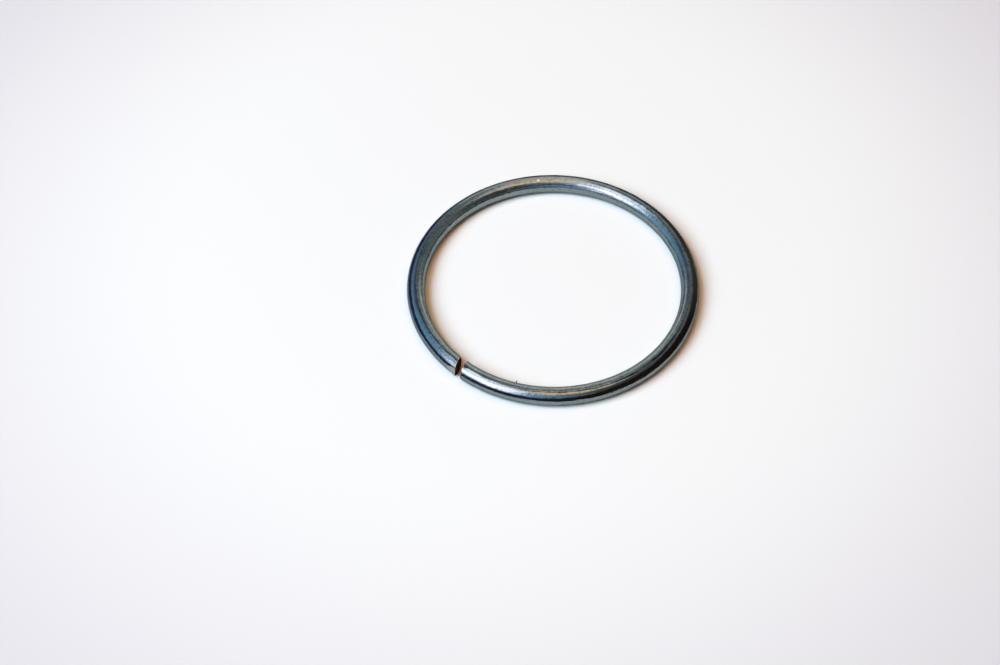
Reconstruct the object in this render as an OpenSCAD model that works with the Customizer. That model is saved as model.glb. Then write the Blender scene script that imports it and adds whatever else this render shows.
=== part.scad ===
// Round-wire retaining ring: one turn of spring steel wire, cut open at one place.
// It lies flat on z = 0, with the middle of the ring on the Z axis.

/* [Wire] */
// Diameter of the round spring wire
wire_d = 2.5; // [1.5:0.1:4]

/* [Ring] */
// Inside diameter of the ring as it lies free
ring_inner_d = 35.15; // [24:0.05:80]

/* [Split] */
// Width of the split, square to its two cut faces
split_w = 1.0; // [0.4:0.05:6]
// Place of the split, in degrees round the ring from +X
split_at = 230.4; // [0:0.2:360]
// Slant of the cut, in degrees away from straight across the wire
split_slant = 18; // [0:1:30]

/* [Sheared ends] */
// Length of wire that the shear has swollen to one side of each end
burr_len = 0.7; // [0.3:0.05:1.5]
// How far the swollen side stands proud of the wire at the cut face
burr_h = 0.08; // [0.03:0.01:0.2]
// How much of each cut face the shear has rolled away, on the side across from the burr
roll_w = 0.3; // [0.1:0.05:0.6]
// Angle between the rolled edge and the cut face
roll_angle = 35; // [20:1:50]

/* [Hidden] */
STEEL = "#5d6b73";

wire_r = wire_d / 2;
mean_r = (ring_inner_d + wire_d) / 2;

// Turn round the ring from the middle of the split to the middle of a cut face.
// side is -1 for the end before the split and 1 for the end after it
function end_turn(side) =
    split_slant + asin(side * split_w / (2 * mean_r) - sin(split_slant));

// Slant of a cut face against the wire at its own end
function end_slant(side) = split_slant - end_turn(side);

// The whole turn of wire, with no split in it
module coil() {
    rotate_extrude($fn = 240)
        translate([mean_r, wire_r])
            circle(r = wire_r, $fn = 64);
}

// The slot that the cut leaves
module split() {
    rotate([0, 0, split_at])
        translate([mean_r, 0, wire_r])
            rotate([0, 0, split_slant])
                cube([3 * wire_d, split_w, 2 * wire_d], center = true);
}

// Puts children at the middle of a cut face, with the wire running out along +Y.
// +X is the side that the shear pushed out: the ring's outside at the end before
// the split, and its inside at the end after it
module at_end(side) {
    rotate([0, 0, split_at + end_turn(side)])
        translate([mean_r, 0, wire_r])
            rotate([0, 0, side < 0 ? 0 : 180])
                children();
}

// Swollen side of an end: a taper that starts inside the wire and leans out of it,
// and runs on a little way into the split to be cut off there
module burr(slant) {
    run_on = split_w / 4;
    start_r = wire_r - 1.5 * burr_h;
    growth = (wire_r - start_r) / burr_len;
    tip_y = (wire_r + burr_h) * tan(slant);
    translate([burr_h, tip_y - burr_len, 0])
        rotate([-90, 0, 0])
            cylinder(h = burr_len + run_on, r1 = start_r, r2 = wire_r + growth * run_on, $fn = 64);
}

// Edge of a cut face that the shear rolled away, across from the burr
module rolled_edge(slant) {
    face_reach = wire_r / cos(slant);
    // The wedge reaches into the split, and far enough back to leave the wire
    over = split_w / 4;
    back = 2 * wire_d;
    rotate([0, 0, slant])
        translate([roll_w - face_reach, 0, 0])
            linear_extrude(height = 2 * wire_d, center = true)
                polygon([
                    [over / tan(roll_angle), over],
                    [-back, over],
                    [-back, -back * tan(roll_angle)],
                ]);
}

module wire_ring() {
    color(STEEL)
        difference() {
            union() {
                coil();
                for (side = [-1, 1])
                    at_end(side) burr(end_slant(side));
            }
            split();
            for (side = [-1, 1])
                at_end(side) rolled_edge(end_slant(side));
        }
}

wire_ring();
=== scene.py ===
"""Looks of a round-wire retaining ring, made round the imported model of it.

The ring is one open turn of drawn spring wire with a slanted split. Its skin is a thin
blue-grey oxide over bright steel, and its two ends are rough from the shear.
Lengths are metres in the ring's own frame: Z is its axis, and it lies on z = 0.
Section angles run round the wire: 0 faces out of the ring, 90 up, 180 in, 270 down.
"""

import logging
import math
from dataclasses import dataclass
from enum import Enum

import bpy
import numpy as np
from mathutils import Matrix, Vector, noise


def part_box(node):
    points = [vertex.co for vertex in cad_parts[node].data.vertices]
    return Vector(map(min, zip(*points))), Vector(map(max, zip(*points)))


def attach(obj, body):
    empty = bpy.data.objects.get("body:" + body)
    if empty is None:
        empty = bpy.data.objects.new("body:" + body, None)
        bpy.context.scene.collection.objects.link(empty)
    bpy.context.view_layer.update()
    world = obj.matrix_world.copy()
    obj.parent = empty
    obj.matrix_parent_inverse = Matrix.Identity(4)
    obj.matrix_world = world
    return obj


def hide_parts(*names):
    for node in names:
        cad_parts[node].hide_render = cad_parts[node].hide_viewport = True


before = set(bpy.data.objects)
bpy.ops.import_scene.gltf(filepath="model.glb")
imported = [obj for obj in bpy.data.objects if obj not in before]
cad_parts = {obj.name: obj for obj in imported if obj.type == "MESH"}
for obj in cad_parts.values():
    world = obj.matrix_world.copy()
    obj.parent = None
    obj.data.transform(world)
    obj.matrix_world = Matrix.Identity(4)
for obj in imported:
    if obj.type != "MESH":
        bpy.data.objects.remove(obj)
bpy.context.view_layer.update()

NODE = "wire_ring"
BODY = "root"
MM = 0.001

Colour = tuple[float, float, float]

log = logging.getLogger("ring")


class End(Enum):
    """The two sheared ends of the wire, by the way their wire runs out, round +Z."""

    BEFORE_SPLIT = -1
    AFTER_SPLIT = 1


class Value:
    """A number socket of a material. Python's operators on it add Math nodes."""

    def __init__(self, graph: "Graph", socket: bpy.types.NodeSocket) -> None:
        """Wraps a socket.

        Args:
            graph: The graph that the socket belongs to.
            socket: The socket that gives the number.
        """
        self.graph = graph
        self.socket = socket

    def __add__(self, other: "Value | float") -> "Value":
        """This number plus another."""
        return self.graph.math("ADD", self, other)

    def __radd__(self, other: float) -> "Value":
        """Another number plus this one."""
        return self.graph.math("ADD", other, self)

    def __sub__(self, other: "Value | float") -> "Value":
        """This number less another."""
        return self.graph.math("SUBTRACT", self, other)

    def __rsub__(self, other: float) -> "Value":
        """Another number less this one."""
        return self.graph.math("SUBTRACT", other, self)

    def __mul__(self, other: "Value | float") -> "Value":
        """This number times another."""
        return self.graph.math("MULTIPLY", self, other)

    def __rmul__(self, other: float) -> "Value":
        """Another number times this one."""
        return self.graph.math("MULTIPLY", other, self)

    def __truediv__(self, other: "Value | float") -> "Value":
        """This number divided by another."""
        return self.graph.math("DIVIDE", self, other)

    def __pow__(self, power: float) -> "Value":
        """This number to a power."""
        return self.graph.math("POWER", self, power)

    def step(self, low: float, high: float) -> "Value":
        """A smooth rise from 0 to 1 as this number goes from low to high."""
        made = self.graph.add(
            "ShaderNodeMapRange",
            {"interpolation_type": "SMOOTHSTEP"},
            {"Value": self, "From Min": low, "From Max": high},
        )
        return Value(self.graph, made.outputs["Result"])


class Graph:
    """The nodes of one material or world."""

    def __init__(self, tree: bpy.types.NodeTree) -> None:
        """Starts with an empty tree.

        Args:
            tree: The node tree of a material or world.
        """
        self.tree = tree
        self.tree.nodes.clear()

    def add(self, kind: str, settings: dict | None = None, inputs: dict | None = None) -> bpy.types.Node:
        """Adds a node.

        Args:
            kind: The node's type, such as ShaderNodeTexNoise.
            settings: The node's own properties, which are set first.
            inputs: A number, a colour or a link for each socket, by its name or number.

        Returns:
            The node.
        """
        node = self.tree.nodes.new(kind)
        for key, value in (settings or {}).items():
            setattr(node, key, value)
        for key, value in (inputs or {}).items():
            socket = node.inputs[key]
            if isinstance(value, Value):
                value = value.socket
            if isinstance(value, bpy.types.NodeSocket):
                self.tree.links.new(value, socket)
            else:
                socket.default_value = value
        return node

    def math(self, operation: str, first: "Value | float", second: "Value | float" = 0.0) -> Value:
        """Adds a Math node and returns its result."""
        made = self.add("ShaderNodeMath", {"operation": operation}, {0: first, 1: second})
        return Value(self, made.outputs[0])

    def mix(self, factor: "Value | float", low: object, high: object) -> bpy.types.NodeSocket:
        """Mixes two colours.

        Args:
            factor: How much of the second colour there is, from 0 to 1.
            low: The colour at 0, as three numbers or a socket.
            high: The colour at 1, as three numbers or a socket.

        Returns:
            The mixed colour's socket.
        """
        made = self.add("ShaderNodeMix", {"data_type": "RGBA"}, {0: factor})
        for name, colour in (("A", low), ("B", high)):
            socket = next(s for s in made.inputs if s.name == name and s.type == "RGBA")
            if isinstance(colour, bpy.types.NodeSocket):
                self.tree.links.new(colour, socket)
            else:
                socket.default_value = (*colour, 1.0)
        return next(s for s in made.outputs if s.type == "RGBA")

    def position(self) -> bpy.types.NodeSocket:
        """The place on the surface, in the ring's frame."""
        return self.add("ShaderNodeTexCoord").outputs["Object"]

    def noise(self, scale: float, detail: float, place: object = None, w: object = None) -> Value:
        """Cloudy noise from 0 to 1.

        Args:
            scale: How many features there are for each unit of the place.
            detail: How many finer layers are added.
            place: Where the noise is read; the place on the surface if it isn't given.
            w: A fourth coordinate, where the noise needs one.

        Returns:
            The noise.
        """
        sockets = {"Vector": place or self.position(), "Scale": scale, "Detail": detail}
        settings = {"noise_dimensions": "3D" if w is None else "4D"}
        if w is not None:
            sockets["W"] = w
        return Value(self, self.add("ShaderNodeTexNoise", settings, sockets).outputs["Fac"])


@dataclass(frozen=True)
class SteelSkin:
    """Drawn spring wire with a thin blue-grey oxide, satin with fine lines along it."""

    mean_radius: float
    wire_radius: float
    base: Colour = (0.190, 0.240, 0.248)
    worn: Colour = (0.25, 0.285, 0.275)
    steel: Colour = (0.66, 0.60, 0.52)
    pitted: Colour = (0.12, 0.15, 0.16)
    # The edge tint darkens the gloss at grazing angles, so the wire's rim goes dark: painted shade.
    edge: Colour = (0.35, 0.35, 0.38)
    roughness: float = 0.15
    line_length: float = 2.5 * MM
    line_width: float = 0.30 * MM
    patch_scale: float = 160.0
    mottle_scale: float = 2200.0
    grain_scale: float = 3500.0
    bump_depth: float = 0.045 * MM

    def build(self) -> bpy.types.Material:
        """Makes the material.

        Returns:
            The material.
        """
        material = bpy.data.materials.new("steel_skin")
        material.use_nodes = True
        graph = Graph(material.node_tree)
        lines = self.draw_lines(graph)
        patches = graph.noise(self.patch_scale, 3.0)
        grain = graph.noise(self.grain_scale, 2.0)
        mottle = graph.noise(self.mottle_scale, 3.0)
        bare = Value(graph, graph.add("ShaderNodeAttribute", {"attribute_name": "bare"}).outputs["Fac"])
        tone = patches.step(0.35, 0.7) * 0.4 + mottle.step(0.35, 0.7) * 0.4 + lines.step(0.45, 0.75) * 0.3
        skin = graph.mix(tone, self.base, self.worn)
        skin = graph.mix(mottle.step(0.50, 0.30) * 0.5, skin, self.pitted)
        colour = graph.mix(bare, skin, self.steel)
        rough = self.roughness + 0.08 * (lines - 0.5) + 0.08 * (mottle - 0.5) + 0.35 * bare
        relief = lines * 0.7 + grain * 0.3
        bump = graph.add(
            "ShaderNodeBump", None, {"Strength": 1.0, "Distance": self.bump_depth, "Height": relief}
        )
        shader = graph.add(
            "ShaderNodeBsdfPrincipled",
            None,
            {
                "Base Color": colour,
                "Metallic": 1.0,
                "Roughness": rough,
                # Dark edge tint: painted shade on the wire's rim.
                "Specular Tint": (*self.edge, 1.0),
                "Normal": bump.outputs[0],
            },
        )
        graph.add("ShaderNodeOutputMaterial", None, {"Surface": shader.outputs[0]})
        return material

    def draw_lines(self, graph: Graph) -> Value:
        """Fine lines that the drawing die left along the wire.

        The noise is read on the turn round the ring and the turn round the wire, both as
        a cosine and a sine, so that it closes on itself both ways.

        Args:
            graph: The material's nodes.

        Returns:
            The lines, from 0 to 1.
        """
        parts = graph.add("ShaderNodeSeparateXYZ", None, {0: graph.position()})
        x, y, z = (Value(graph, s) for s in parts.outputs)
        reach = (x * x + y * y) ** 0.5
        along = self.mean_radius / self.line_length
        around = 1.0 / self.line_width
        place = graph.add(
            "ShaderNodeCombineXYZ",
            None,
            {0: x / reach * along, 1: y / reach * along, 2: (reach - self.mean_radius) * around},
        )
        return graph.noise(1.0, 3.0, place.outputs[0], (z - self.wire_radius) * around)


@dataclass(frozen=True)
class ShearedFace:
    """Rough steel that the shear tore, browned by a film of rust, and near black with painted shade of
    the narrow split.
    """

    # Near black over the rust film: painted shade of the narrow split.
    dark: Colour = (0.015, 0.009, 0.007)
    brown: Colour = (0.12, 0.04, 0.01)
    roughness: float = 0.6
    film_scale: float = 1800.0
    grain_scale: float = 14000.0
    bump_depth: float = 0.03 * MM

    def build(self) -> bpy.types.Material:
        """Makes the material.

        Returns:
            The material.
        """
        material = bpy.data.materials.new("sheared_face")
        material.use_nodes = True
        graph = Graph(material.node_tree)
        film = graph.noise(self.film_scale, 3.0)
        grain = graph.noise(self.grain_scale, 3.0)
        colour = graph.mix(film.step(0.35, 0.6), self.dark, self.brown)
        bump = graph.add(
            "ShaderNodeBump", None, {"Strength": 0.8, "Distance": self.bump_depth, "Height": grain}
        )
        # No metal and no gloss, so the face mirrors nothing: painted shade of the narrow split.
        shader = graph.add(
            "ShaderNodeBsdfPrincipled",
            None,
            {
                "Base Color": colour,
                "Metallic": 0.0,
                "Specular IOR Level": 0.0,
                "Roughness": self.roughness + 0.2 * (grain - 0.5),
                "Normal": bump.outputs[0],
            },
        )
        graph.add("ShaderNodeOutputMaterial", None, {"Surface": shader.outputs[0]})
        return material


@dataclass(frozen=True)
class Flat:
    """A plane place beside a cut face, where the shear pressed or drew the skin.

    It is deepest and widest at the face and runs out to a point along the wire. The flare
    is how far the metal there was drawn out past the face. It starts where the skin faces
    the flat's way by least_facing, and is whole from full_facing.
    """

    end: End
    middle: float
    length: float
    depth: float
    bare: float
    flare: float = 0.0
    least_facing: float = 0.2
    full_facing: float = 0.8

    def along(self, end: End, back: float) -> float:
        """How much of the flat is left at a distance back from a cut face, from 1 to 0."""
        return max(0.0, 1 - back / self.length) if end is self.end else 0.0

    def facing(self, theta: np.ndarray) -> np.ndarray:
        """How squarely places on the skin face the way that the flat does, up to 1."""
        return np.cos(theta - math.radians(self.middle))

    def sink(self, end: End, back: float, theta: np.ndarray, wire_radius: float) -> np.ndarray:
        """How far the flat lies under the round skin.

        Args:
            end: Which end the places are near.
            back: How far they are from the cut face, along the wire.
            theta: Their section angles, in radians.
            wire_radius: The radius of the round skin.

        Returns:
            The distance at each place, 0 where there is no flat.
        """
        plane = wire_radius - self.depth * self.along(end, back)
        return np.clip(wire_radius - plane / np.clip(self.facing(theta), self.least_facing, 1), 0, None)

    def drawn(self, end: End, back: float, theta: np.ndarray) -> np.ndarray:
        """How far the metal was drawn out along the wire at places on the skin."""
        drawn = smooth_step(self.least_facing, self.full_facing, self.facing(theta))
        return self.flare * self.along(end, back) * drawn


@dataclass(frozen=True)
class Split:
    """The slanted split in the ring, and what the shear did to the wire's ends."""

    azimuth: float = 230.4
    slant: float = 18.0
    width: float = 1.0 * MM
    burr_length: float = 0.7 * MM
    burr_height: float = 0.08 * MM
    roll_depth: float = 0.26 * MM
    roll_length: float = 0.22 * MM
    roll_start: float = 0.6
    edge_radius: float = 0.015 * MM
    bulge: float = 0.26 * MM
    rim: float = 0.09 * MM
    rim_bareness: float = 0.7
    bare_depth: float = 0.03 * MM
    coarse_relief: float = 0.05 * MM
    fine_relief: float = 0.018 * MM
    flats: tuple[Flat, ...] = (
        Flat(End.BEFORE_SPLIT, middle=10.0, length=1.25 * MM, depth=0.19 * MM, bare=0.30),
        Flat(End.AFTER_SPLIT, middle=88.0, length=0.80 * MM, depth=0.06 * MM, bare=0.0),
        Flat(End.AFTER_SPLIT, middle=335.0, length=0.45 * MM, depth=0.0, bare=0.3, flare=0.20 * MM),
    )

    def end_turn(self, end: End, mean_radius: float) -> float:
        """Turn round the ring from the middle of the split to a cut face, in radians."""
        slant = math.radians(self.slant)
        return slant + math.asin(end.value * self.width / (2 * mean_radius) - math.sin(slant))


@dataclass(frozen=True)
class Mark:
    """A small mark on the wire's skin: a chip of scale, a nick's lip or a worn speck.

    It is a flat closed drop, half sunk into the wire. Its bareness runs from 0, dark, to 1, bright.
    """

    azimuth: float
    section: float
    along: float
    around: float
    height: float
    bare: float
    columns: int = 12
    rows: int = 8

    def join(
        self, ring: "WireRing", points: np.ndarray, faces: list, cut: list, bare: np.ndarray
    ) -> tuple[np.ndarray, list, list, np.ndarray]:
        """Adds the mark to the ring's surface.

        Args:
            ring: The ring that it is on.
            points: The surface's points.
            faces: Its faces, as lists of point numbers.
            cut: For each face 1 if it is torn steel, near black with painted shade.
            bare: For each point how bare its steel is.

        Returns:
            The same four with the mark in them.
        """
        top = len(points)
        made = [self.place(ring, math.pi / 2, 0.0)]
        for row in range(1, self.rows):
            lift = math.pi / 2 - math.pi * row / self.rows
            for column in range(self.columns):
                made.append(self.place(ring, lift, 2 * math.pi * column / self.columns))
        made.append(self.place(ring, -math.pi / 2, 0.0))
        bottom = top + len(made) - 1
        added = []
        for column in range(self.columns):
            after = (column + 1) % self.columns
            added.append([top, top + 1 + column, top + 1 + after])
            for row in range(self.rows - 2):
                high = top + 1 + row * self.columns
                low = high + self.columns
                added.append([high + column, low + column, low + after, high + after])
            added.append([bottom, bottom - self.columns + after, bottom - self.columns + column])
        return (
            np.concatenate([points, made]),
            faces + added,
            cut + [0 if self.bare else 1] * len(added),
            np.append(bare, np.full(len(made), self.bare)),
        )

    def place(self, ring: "WireRing", lift: float, spin: float) -> np.ndarray:
        """A point of the mark, by its angles up from the wire's skin and round the mark."""
        along = self.along / 2 * math.cos(lift) * math.cos(spin)
        around = self.around / 2 * math.cos(lift) * math.sin(spin)
        azimuth = math.radians(self.azimuth) + along / ring.mean_radius
        theta = math.radians(self.section) + around / ring.wire_radius
        radius = ring.wire_radius + self.height * math.sin(lift)
        return ring.on_ring(np.array(azimuth), radius, np.array(theta))


@dataclass
class WireRing:
    """The ring itself: a round wire swept round one turn, from one cut face to the other.

    The rise is how high the wire's middle line lies over the table.
    """

    mean_radius: float
    wire_radius: float
    rise: float
    split: Split
    columns: int = 96
    turn_steps: int = 620
    near_length: float = 2.0 * MM
    near_steps: int = 44
    near_growth: float = 2.2
    face_rings: int = 16
    marks: tuple[Mark, ...] = (
        Mark(255.1, 142.0, along=0.20 * MM, around=0.18 * MM, height=0.30 * MM, bare=0.02),
        Mark(237.3, 110.0, along=0.22 * MM, around=0.46 * MM, height=0.018 * MM, bare=0.8),
        Mark(97.2, 106.0, along=0.50 * MM, around=0.48 * MM, height=0.013 * MM, bare=0.6),
        Mark(293.6, 81.0, along=0.12 * MM, around=0.26 * MM, height=0.005 * MM, bare=0.8),
    )

    @classmethod
    def from_frame(cls, split: Split) -> "WireRing":
        """Takes the wire's and the ring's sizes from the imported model's box.

        Args:
            split: The split in the ring.

        Returns:
            The ring.
        """
        low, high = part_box(NODE)
        wire_radius = (high.z - low.z) / 2
        outer = min(high.x, high.y, -low.x, -low.y)
        return cls(outer - wire_radius, wire_radius, (high.z + low.z) / 2, split)

    def build(self) -> bpy.types.Object:
        """Builds the ring and dresses it.

        Returns:
            The ring's object, riding in place of the CAD node.
        """
        points, faces, cut, bare = self.surface()
        for mark in self.marks:
            points, faces, cut, bare = mark.join(self, points, faces, cut, bare)
        mesh = bpy.data.meshes.new("ring_wire")
        mesh.from_pydata(points.tolist(), [], faces)
        mesh.validate()
        mesh.materials.append(SteelSkin(self.mean_radius, self.wire_radius).build())
        mesh.materials.append(ShearedFace().build())
        mesh.polygons.foreach_set("material_index", cut)
        mesh.polygons.foreach_set("use_smooth", [True] * len(mesh.polygons))
        mesh.attributes.new("bare", "FLOAT", "POINT").data.foreach_set("value", bare)
        mesh.update()
        ring = bpy.data.objects.new("ring_wire", mesh)
        bpy.context.scene.collection.objects.link(ring)
        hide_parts(NODE)
        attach(ring, BODY)
        log.info("ring_wire: %d points, %d faces", len(points), len(faces))
        return ring

    def surface(self) -> tuple[np.ndarray, list, list, np.ndarray]:
        """The swept wire with its two ends.

        Returns:
            The points, the faces as lists of point numbers, for each face 1 if it is part
            of a cut face and 0 if not, and for each point how bare its steel is.
        """
        theta = np.linspace(0, 2 * math.pi, self.columns, endpoint=False)
        tube = self.tube(theta)
        first = self.face(End.AFTER_SPLIT, theta, tube[0])
        last = self.face(End.BEFORE_SPLIT, theta, tube[-1])
        rows = np.concatenate([first[::-1], tube, last])
        rings, columns = rows.shape[:2]
        points = rows.reshape(-1, 3)
        middles = np.stack([first[-1].mean(0), last[-1].mean(0)])
        points = np.concatenate([points, middles])
        faces, cut = [], []
        for row in range(rings - 1):
            start = row * columns
            torn = row < self.face_rings or row >= rings - 1 - self.face_rings
            for column in range(columns):
                after = (column + 1) % columns
                faces.append(
                    [start + column, start + columns + column, start + columns + after, start + after]
                )
                cut.append(int(torn))
        final = (rings - 1) * columns
        for column in range(columns):
            after = (column + 1) % columns
            faces.append([rings * columns, column, after])
            faces.append([rings * columns + 1, final + after, final + column])
            cut += [1, 1]
        bare = np.zeros((rings, columns))
        for row, back in enumerate(self.near_rows()):
            bare[self.face_rings + row] = self.bareness(End.AFTER_SPLIT, back, theta)
            bare[rings - 1 - self.face_rings - row] = self.bareness(End.BEFORE_SPLIT, back, theta)
        return points, faces, cut, np.append(bare.ravel(), (0.0, 0.0))

    def near_rows(self) -> np.ndarray:
        """How far back from a cut face each of the close rings of points lies."""
        return self.near_length * np.linspace(0, 1, self.near_steps) ** self.near_growth

    def tube(self, theta: np.ndarray) -> np.ndarray:
        """The wire's skin, as rings of points from the end after the split to the other.

        Args:
            theta: The section angles of the points, in radians.

        Returns:
            An array of rings, each of as many points as there are section angles.
        """
        near = self.near_rows()
        middle_of_split = math.radians(self.split.azimuth)
        start = middle_of_split + self.split.end_turn(End.AFTER_SPLIT, self.mean_radius)
        stop = middle_of_split + self.split.end_turn(End.BEFORE_SPLIT, self.mean_radius) + 2 * math.pi
        near_turn = self.near_length / self.mean_radius
        middle = np.linspace(start + near_turn, stop - near_turn, self.turn_steps)[1:-1]
        phi = np.concatenate(
            [start + near / self.mean_radius, middle, stop - near[::-1] / self.mean_radius]
        )
        rows = []
        for azimuth in phi:
            to_start = (azimuth - start) * self.mean_radius
            to_stop = (stop - azimuth) * self.mean_radius
            end = End.AFTER_SPLIT if to_start < to_stop else End.BEFORE_SPLIT
            back = min(to_start, to_stop)
            if back > self.near_length:
                rows.append(self.on_ring(np.full_like(theta, azimuth), self.wire_radius, theta))
            else:
                rows.append(self.section(end, back, theta))
        return np.array(rows)

    def on_ring(self, azimuth: np.ndarray, radius: object, theta: np.ndarray) -> np.ndarray:
        """Points at a distance from the wire's middle line.

        Args:
            azimuth: How far round the ring each point is, in radians.
            radius: How far each point is from the wire's middle line.
            theta: The section angle of each point, in radians.

        Returns:
            The points.
        """
        reach = self.mean_radius + radius * np.cos(theta)
        height = self.rise + radius * np.sin(theta)
        return np.stack([reach * np.cos(azimuth), reach * np.sin(azimuth), height], -1)

    def section(self, end: End, back: float, theta: np.ndarray) -> np.ndarray:
        """One ring of points on the skin near a cut face.

        Args:
            end: Which end the ring is near.
            back: How far it is from the cut face, along the wire.
            theta: The section angles of the points, in radians.

        Returns:
            The points.
        """
        split = self.split
        side = -np.cos(theta) if end is End.AFTER_SPLIT else np.cos(theta)
        rolled = smooth_step(split.roll_start, 1.0, -side)
        depth = split.edge_radius + (split.roll_depth - split.edge_radius) * rolled
        length = split.edge_radius + (split.roll_length - split.edge_radius) * rolled
        round_off = np.clip(1 - back / length, 0, 1)
        radius = self.wire_radius - depth * (1 - np.sqrt(1 - round_off ** 2))
        swell = np.clip(1 - back / split.burr_length, 0, 1) ** 2
        flare = np.zeros_like(theta)
        for flat in split.flats:
            radius = radius - flat.sink(end, back, theta, self.wire_radius)
            flare = flare + flat.drawn(end, back, theta)
        across = side * radius + split.burr_height * swell * np.clip(side, 0, None)
        lean = 1 - smooth_step(0, self.near_length, np.array(back))
        out = self.face_line(end, across) * lean - back + flare
        return self.at_end(end, across, out, radius * np.sin(theta))

    def bareness(self, end: End, back: float, theta: np.ndarray) -> np.ndarray:
        """How bare the steel is near a cut face: on its rim and on the flats.

        Args:
            end: Which end the places are near.
            back: How far they are from the cut face, along the wire.
            theta: Their section angles, in radians.

        Returns:
            The bareness at each place, from 0 to 1.
        """
        split = self.split
        bare = np.full_like(theta, split.rim_bareness * max(0.0, 1 - back / split.rim))
        for flat in split.flats:
            sunk = flat.sink(end, back, theta, self.wire_radius)
            bare = np.maximum(bare, flat.bare * smooth_step(0, split.bare_depth, sunk))
        return bare

    def face_line(self, end: End, across: np.ndarray) -> np.ndarray:
        """How far out along the wire the cut face is, at a distance across the wire."""
        slant = math.radians(self.split.slant) - self.split.end_turn(end, self.mean_radius)
        return across * math.tan(slant)

    def at_end(self, end: End, across: np.ndarray, out: np.ndarray, up: np.ndarray) -> np.ndarray:
        """Points in the frame of a cut face.

        Args:
            end: Which end it is.
            across: How far each point is to the burr's side of the wire's middle line.
            out: How far out along the wire each point is.
            up: How far above the wire's middle line each point is.

        Returns:
            The points.
        """
        turn = self.split.end_turn(end, self.mean_radius)
        way = -end.value
        azimuth = math.radians(self.split.azimuth) + turn + way * out / self.mean_radius
        reach = self.mean_radius + way * across
        return np.stack([reach * np.cos(azimuth), reach * np.sin(azimuth), self.rise + up], -1)

    def face(self, end: End, theta: np.ndarray, rim: np.ndarray) -> np.ndarray:
        """A cut face, as rings of points from just inside its rim towards its middle.

        Args:
            end: Which end the face is on.
            theta: The section angles of the points, in radians.
            rim: The last ring of the skin, at the face's edge.

        Returns:
            An array of rings of points.
        """
        reach = np.hypot(rim[:, 0], rim[:, 1]) - self.mean_radius
        across = -end.value * reach
        up = rim[:, 2] - self.rise
        rows = []
        for ring in range(1, self.face_rings + 1):
            share = 1 - ring / (self.face_rings + 1)
            x, z = across * share, up * share
            torn = np.array([self.relief(end, a, b) for a, b in zip(x, z)])
            swell = self.split.bulge * (1 - share ** 2) if end is End.BEFORE_SPLIT else 0.0
            out = self.face_line(end, x) + torn * (1 - share ** 6) + swell
            rows.append(self.at_end(end, x, out, z))
        return np.array(rows)

    def relief(self, end: End, across: float, up: float) -> float:
        """How far the torn metal of a cut face stands proud of its plane."""
        place = Vector((across, up, end.value * self.wire_radius)) / self.wire_radius
        coarse = noise.noise(place * 2.0)
        fine = noise.noise(place * 9.0)
        return self.split.coarse_relief * coarse + self.split.fine_relief * fine


@dataclass(frozen=True)
class Lamp:
    """A soft square lamp that faces the ring and lights the table.

    The metal doesn't mirror it, and shows the boards instead.
    """

    name: str
    azimuth: float
    elevation: float
    size: float
    colour: Colour
    radiance: float
    distance: float = 1.4

    def build(self) -> None:
        """Adds the lamp to the scene."""
        data = bpy.data.lights.new(self.name, "AREA")
        data.shape = "SQUARE"
        data.size = self.size
        data.color = self.colour
        data.energy = self.radiance * math.pi * self.size * self.size
        lamp = bpy.data.objects.new(self.name, data)
        lamp.visible_camera = False
        lamp.visible_glossy = False
        out = direction(self.azimuth, self.elevation)
        lamp.location = out * self.distance
        lamp.rotation_mode = "QUATERNION"
        lamp.rotation_quaternion = (-out).to_track_quat("-Z", "Y")
        bpy.context.scene.collection.objects.link(lamp)
        log.info("%s: %.2f of white", self.name, self.radiance)


@dataclass(frozen=True)
class Station:
    """One upright edge of a board: where it stands, how high it reaches and its colour."""

    azimuth: float
    low: float
    high: float
    colour: Colour


@dataclass(frozen=True)
class Board:
    """A glowing board that curves round the ring, from station to station, and shows only in the metal: a
    painted reflection.

    Pale and dark boards give the wire its long bands. They stand where the photographed
    wire shows reflections, and their places and colours were set for that one view.
    No other light falls from them, so that the table stays plain.
    """

    name: str
    distance: float
    stations: tuple[Station, ...]
    edge: Colour | None = None
    columns: int = 8
    rows: int = 12
    fade_power: int = 3

    def build(self) -> None:
        """Adds the board to the scene."""
        points, colours, faces = [], [], []
        for station in self.edges():
            for row in range(self.rows + 1):
                elevation = station.low + (station.high - station.low) * row / self.rows
                points.append(direction(station.azimuth, elevation) * self.distance)
                fade = abs(2 * row / self.rows - 1) ** self.fade_power if self.edge else 0.0
                colours += (*blend(station.colour, self.edge or station.colour, fade), 1.0)
        upright = self.rows + 1
        for corner in range(len(points) - upright):
            if (corner + 1) % upright:
                faces.append([corner, corner + 1, corner + upright + 1, corner + upright])
        board = add_object(self.name, points, faces)
        glow = board.data.color_attributes.new("glow", "FLOAT_COLOR", "POINT")
        glow.data.foreach_set("color", colours)
        board.data.materials.append(self.material())
        board.visible_camera = False
        board.visible_diffuse = False
        board.visible_shadow = False
        log.info("%s: %d stations", self.name, len(self.stations))

    def edges(self) -> list[Station]:
        """The stations, with the steps between them worked out."""
        made = [self.stations[0]]
        for before, after in zip(self.stations, self.stations[1:]):
            for step in range(1, self.columns + 1):
                share = step / self.columns
                made.append(
                    Station(
                        before.azimuth + (after.azimuth - before.azimuth) * share,
                        before.low + (after.low - before.low) * share,
                        before.high + (after.high - before.high) * share,
                        blend(before.colour, after.colour, share),
                    )
                )
        return made

    def material(self) -> bpy.types.Material:
        """A material that glows in the board's own colours, where 1 is white."""
        material = bpy.data.materials.new(self.name)
        material.use_nodes = True
        graph = Graph(material.node_tree)
        colour = graph.add("ShaderNodeVertexColor", {"layer_name": "glow"})
        glow = graph.add("ShaderNodeEmission", None, {"Color": colour.outputs["Color"]})
        graph.add("ShaderNodeOutputMaterial", None, {"Surface": glow.outputs[0]})
        return material


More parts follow.
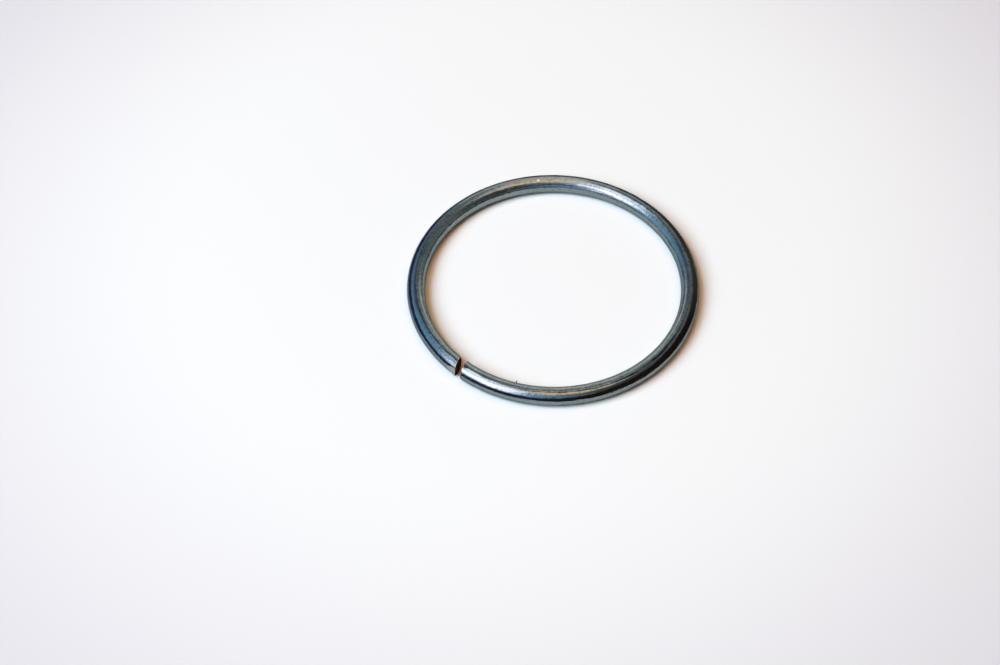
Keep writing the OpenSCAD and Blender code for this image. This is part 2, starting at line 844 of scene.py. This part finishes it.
@dataclass(frozen=True)
class Studio:
    """A plain pale table under soft lamps, and the camera."""

    paper: Colour = (0.90, 0.895, 0.94)
    paper_roughness: float = 0.9
    paper_gloss: float = 0.1
    # Away from the ring the paper goes to this darker colour: painted shade of the light falling off.
    shaded_paper: Colour = (0.69, 0.66, 0.74)
    dim_middle: tuple[float, float, float] = (-8 * MM, 12 * MM, 0.0)
    dim_reach: tuple[float, float] = (40 * MM, 110 * MM)
    table_size: float = 3.0
    sky: Colour = (1.0, 1.03, 1.0)
    ambient: Colour = (0.08, 0.045, 0.02)
    camera_distance: float = 259.4 * MM
    camera_elevation: float = 50.97
    camera_turn: float = 1.588
    camera_tilt: float = -1.293
    camera_roll: float = -0.946
    lens: float = 67.61
    sensor: float = 36.0
    nearest: float = 0.005
    farthest: float = 10.0

    def build(self) -> None:
        """Builds the table, the lamps, the boards, the world and the camera."""
        self.build_table()
        self.build_world()
        self.build_camera()
        for lamp in (
            Lamp("window_lamp", 211, 50, size=0.98, colour=(0.70, 0.90, 1.0), radiance=9.0),
            Lamp("warm_lamp", 330, 82, size=1.05, colour=(1.0, 0.55, 0.22), radiance=2.15),
        ):
            lamp.build()
        for board in (
            self.window(),
            self.warm_cap(),
            self.far_glow(),
            self.kerb(),
            self.surround(),
            self.sill(),
            self.canopy(),
            self.overhead(),
        ):
            board.build()
        bpy.context.scene.view_settings.view_transform = "Standard"

    def window(self) -> Board:
        """A painted reflection of a bright window to the left, fading to blue all round."""
        edge = (0.60, 0.90, 1.35)
        return Board(
            "window",
            310 * MM,
            (
                Station(98, 66, 76, (1.6, 1.3, 1.3)),
                Station(118, 63, 80, (3.6, 3.3, 3.7)),
                Station(140, 63, 82, (4.4, 4.0, 4.5)),
                Station(165, 62, 82, (3.6, 3.4, 4.0)),
                Station(178, 50, 80, (2.0, 2.2, 2.9)),
                Station(190, 26, 79, (2.1, 2.4, 3.1)),
                Station(203, 20, 80, (5.6, 4.9, 5.4)),
                Station(228, 20, 80, (5.8, 4.9, 5.4)),
                Station(241, 22, 78, (3.4, 3.2, 3.8)),
                Station(254, 30, 70, edge),
            ),
            edge,
        )

    def warm_cap(self) -> Board:
        """A painted reflection of the warm lamp overhead: a glowing orange cap that only the metal shows.
        """
        low, wide = 77, 71
        orange = (2.5, 1.5, 0.85)
        turns = ((0, wide), (90, low), (180, low + 2), (270, wide + 1), (360, wide))
        return Board(
            "warm_cap", 350 * MM, tuple(Station(azimuth, edge, 90, orange) for azimuth, edge in turns)
        )

    def far_glow(self) -> Board:
        """A painted reflection: a glowing beige board close behind the ring's far side."""
        return Board(
            "far_glow",
            30 * MM,
            (
                Station(76, 29, 33, (0.80, 0.80, 0.84)),
                Station(83, 21, 38, (1.80, 1.42, 1.30)),
                Station(91, 20, 42, (1.65, 1.30, 1.15)),
                Station(98, 21, 41, (1.50, 1.20, 1.00)),
                Station(105, 25, 36, (1.00, 0.88, 0.72)),
                Station(111, 29, 32, (0.50, 0.52, 0.48)),
            ),
        )

    def kerb(self) -> Board:
        """A painted dark reflection: a low dark edge close round the ring, which darkens the wire's outer
        flank.
        """
        black, brown = (0.03, 0.015, 0.01), (0.13, 0.095, 0.08)
        navy, olive = (0.04, 0.06, 0.20), (0.14, 0.14, 0.09)
        return Board(
            "kerb",
            26 * MM,
            (
                Station(20, 0, 22, brown),
                Station(40, 0, 18, brown),
                Station(60, 0, 12, (0.20, 0.19, 0.15)),
                Station(75, 0, 9, olive),
                Station(125, 0, 8, olive),
                Station(145, 0, 12, navy),
                Station(200, 0, 11, navy),
                Station(245, 0, 9, (0.04, 0.04, 0.12)),
                Station(285, 0, 13, black),
                Station(310, 0, 18, black),
                Station(350, 0, 24, black),
                Station(380, 0, 22, brown),
            ),
        )

    def surround(self) -> Board:
        """A painted reflection of the room round the ring: blue to the left, pale behind, grey to the
        right.
        """
        grey = (0.32, 0.34, 0.35)
        return Board(
            "surround",
            330 * MM,
            (
                Station(104, 30, 50, (0.24, 0.27, 0.36)),
                Station(122, 5, 50, (0.30, 0.42, 0.52)),
                Station(140, 0, 56, (0.32, 0.52, 0.72)),
                Station(165, 0, 62, (0.40, 0.78, 1.12)),
                Station(190, 0, 40, (0.50, 0.85, 1.20)),
                Station(230, 0, 34, (0.50, 0.80, 1.20)),
                Station(250, 0, 66, (0.48, 0.70, 1.00)),
                Station(270, 0, 68, (0.42, 0.64, 0.88)),
                Station(290, 0, 66, (0.26, 0.34, 0.44)),
                Station(304, 0, 44, grey),
                Station(400, 0, 44, grey),
                Station(420, 10, 44, (0.50, 0.52, 0.50)),
                Station(436, 30, 44, (0.60, 0.62, 0.60)),
            ),
        )

    def sill(self) -> Board:
        """A painted reflection of a navy line low to the left and behind, which the right arc's inside
        shows.
        """
        navy = (0.10, 0.18, 0.40)
        return Board(
            "sill",
            325 * MM,
            (
                Station(116, 4, 8, (0.20, 0.30, 0.45)),
                Station(131, 5, 12, navy),
                Station(141, 9, 16, navy),
                Station(152, 8, 15, navy),
                Station(166, 9, 13, (0.25, 0.45, 0.70)),
            ),
        )

    def canopy(self) -> Board:
        """A painted reflection of a dark edge high to the right and behind, brown to the right and navy
        to the left.
        """
        return Board(
            "canopy",
            320 * MM,
            (
                Station(298, 40, 66, (0.13, 0.11, 0.11)),
                Station(360, 42, 64, (0.16, 0.14, 0.14)),
                Station(380, 42, 65, (0.32, 0.31, 0.31)),
                Station(410, 44, 66, (0.34, 0.33, 0.34)),
                Station(430, 44, 64, (0.18, 0.17, 0.19)),
                Station(448, 45, 60, (0.34, 0.38, 0.44)),
                Station(464, 43, 63, (0.08, 0.10, 0.20)),
                Station(485, 43, 60, (0.13, 0.18, 0.32)),
                Station(500, 46, 56, (0.32, 0.50, 0.72)),
            ),
        )

    def overhead(self) -> Board:
        """A painted reflection of a dark bar over the near side, which draws the thin line inside the
        top.
        """
        return Board(
            "overhead",
            30 * MM,
            (
                Station(199, 58, 64, (0.30, 0.36, 0.45)),
                Station(207, 56, 66, (0.05, 0.06, 0.12)),
                Station(240, 56, 69, (0.04, 0.05, 0.10)),
                Station(270, 57, 71, (0.03, 0.03, 0.06)),
                Station(300, 51, 67, (0.02, 0.015, 0.015)),
                Station(321, 43, 59, (0.02, 0.015, 0.015)),
                Station(345, 41, 54, (0.02, 0.015, 0.02)),
                Station(370, 42, 53, (0.04, 0.03, 0.05)),
                Station(382, 46, 53, (0.15, 0.15, 0.20)),
            ),
        )

    def build_table(self) -> None:
        """Adds the pale table top, a little darker away from the ring: painted shade of the light falling
        off.
        """
        half = self.table_size / 2
        corners = [(-half, -half, 0), (half, -half, 0), (half, half, 0), (-half, half, 0)]
        table = add_object("table_top", corners, [[0, 1, 2, 3]])
        material = bpy.data.materials.new("table_top")
        material.use_nodes = True
        graph = Graph(material.node_tree)
        away = graph.add(
            "ShaderNodeVectorMath", {"operation": "SUBTRACT"}, {0: graph.position(), 1: self.dim_middle}
        )
        reach = graph.add("ShaderNodeVectorMath", {"operation": "LENGTH"}, {0: away.outputs[0]})
        falloff_shade = Value(graph, reach.outputs["Value"]).step(*self.dim_reach)
        shader = graph.add(
            "ShaderNodeBsdfPrincipled",
            None,
            {
                "Base Color": graph.mix(falloff_shade, self.paper, self.shaded_paper),
                "Roughness": self.paper_roughness,
                "Specular IOR Level": self.paper_gloss,
            },
        )
        graph.add("ShaderNodeOutputMaterial", None, {"Surface": shader.outputs[0]})
        table.data.materials.append(material)

    def build_world(self) -> None:
        """Gives the camera and the metal a pale backdrop, and the table a little warm fill."""
        world = bpy.data.worlds.new("backdrop")
        world.use_nodes = True
        bpy.context.scene.world = world
        graph = Graph(world.node_tree)
        path = graph.add("ShaderNodeLightPath")
        seen = Value(graph, path.outputs["Is Camera Ray"])
        for kind in ("Is Glossy Ray", "Is Transmission Ray"):
            seen = graph.math("MAXIMUM", seen, Value(graph, path.outputs[kind]))
        colour = graph.mix(seen, self.ambient, self.sky)
        backdrop = graph.add("ShaderNodeBackground", None, {"Color": colour})
        graph.add("ShaderNodeOutputWorld", None, {"Surface": backdrop.outputs[0]})

    def build_camera(self) -> None:
        """Adds the camera where the photograph was taken from."""
        data = bpy.data.cameras.new("camera")
        data.sensor_width = self.sensor
        data.lens = self.lens
        data.clip_start = self.nearest
        data.clip_end = self.farthest
        place = direction(270, self.camera_elevation) * self.camera_distance
        ahead = -place.normalized()
        right = Vector((1, 0, 0))
        above = right.cross(ahead)
        for angle, about in (
            (self.camera_turn, "above"),
            (self.camera_tilt, "right"),
            (self.camera_roll, "ahead"),
        ):
            axis = {"above": above, "right": right, "ahead": ahead}[about]
            turn = Matrix.Rotation(math.radians(angle), 3, axis)
            ahead, right, above = turn @ ahead, turn @ right, turn @ above
        camera = bpy.data.objects.new("camera", data)
        pose = Matrix((right, above, -ahead)).transposed().to_4x4()
        pose.translation = place
        camera.matrix_world = pose
        bpy.context.scene.collection.objects.link(camera)
        bpy.context.scene.camera = camera


def direction(azimuth: float, elevation: float) -> Vector:
    """The unit vector towards an azimuth, round from +X, and an elevation, in degrees."""
    turn, lift = math.radians(azimuth), math.radians(elevation)
    return Vector((math.cos(turn) * math.cos(lift), math.sin(turn) * math.cos(lift), math.sin(lift)))


def blend(first: Colour, second: Colour, share: float) -> Colour:
    """The colour between two colours, where a share of 1 is the second."""
    return tuple(a + (b - a) * share for a, b in zip(first, second))


def smooth_step(low: float, high: float, value: np.ndarray) -> np.ndarray:
    """A smooth rise from 0 to 1 as value goes from low to high."""
    share = np.clip((value - low) / (high - low), 0, 1)
    return share * share * (3 - 2 * share)


def add_object(name: str, points: list, faces: list) -> bpy.types.Object:
    """Adds a mesh object to the scene.

    Args:
        name: The object's name.
        points: Its points.
        faces: Its faces, as lists of point numbers.

    Returns:
        The object.
    """
    mesh = bpy.data.meshes.new(name)
    mesh.from_pydata(points, [], faces)
    made = bpy.data.objects.new(name, mesh)
    bpy.context.scene.collection.objects.link(made)
    return made


def main() -> None:
    """Builds the ring and the studio."""
    logging.basicConfig(level=logging.INFO, format="%(name)s: %(message)s")
    WireRing.from_frame(Split()).build()
    Studio().build()


if __name__ == "__main__":
    main()
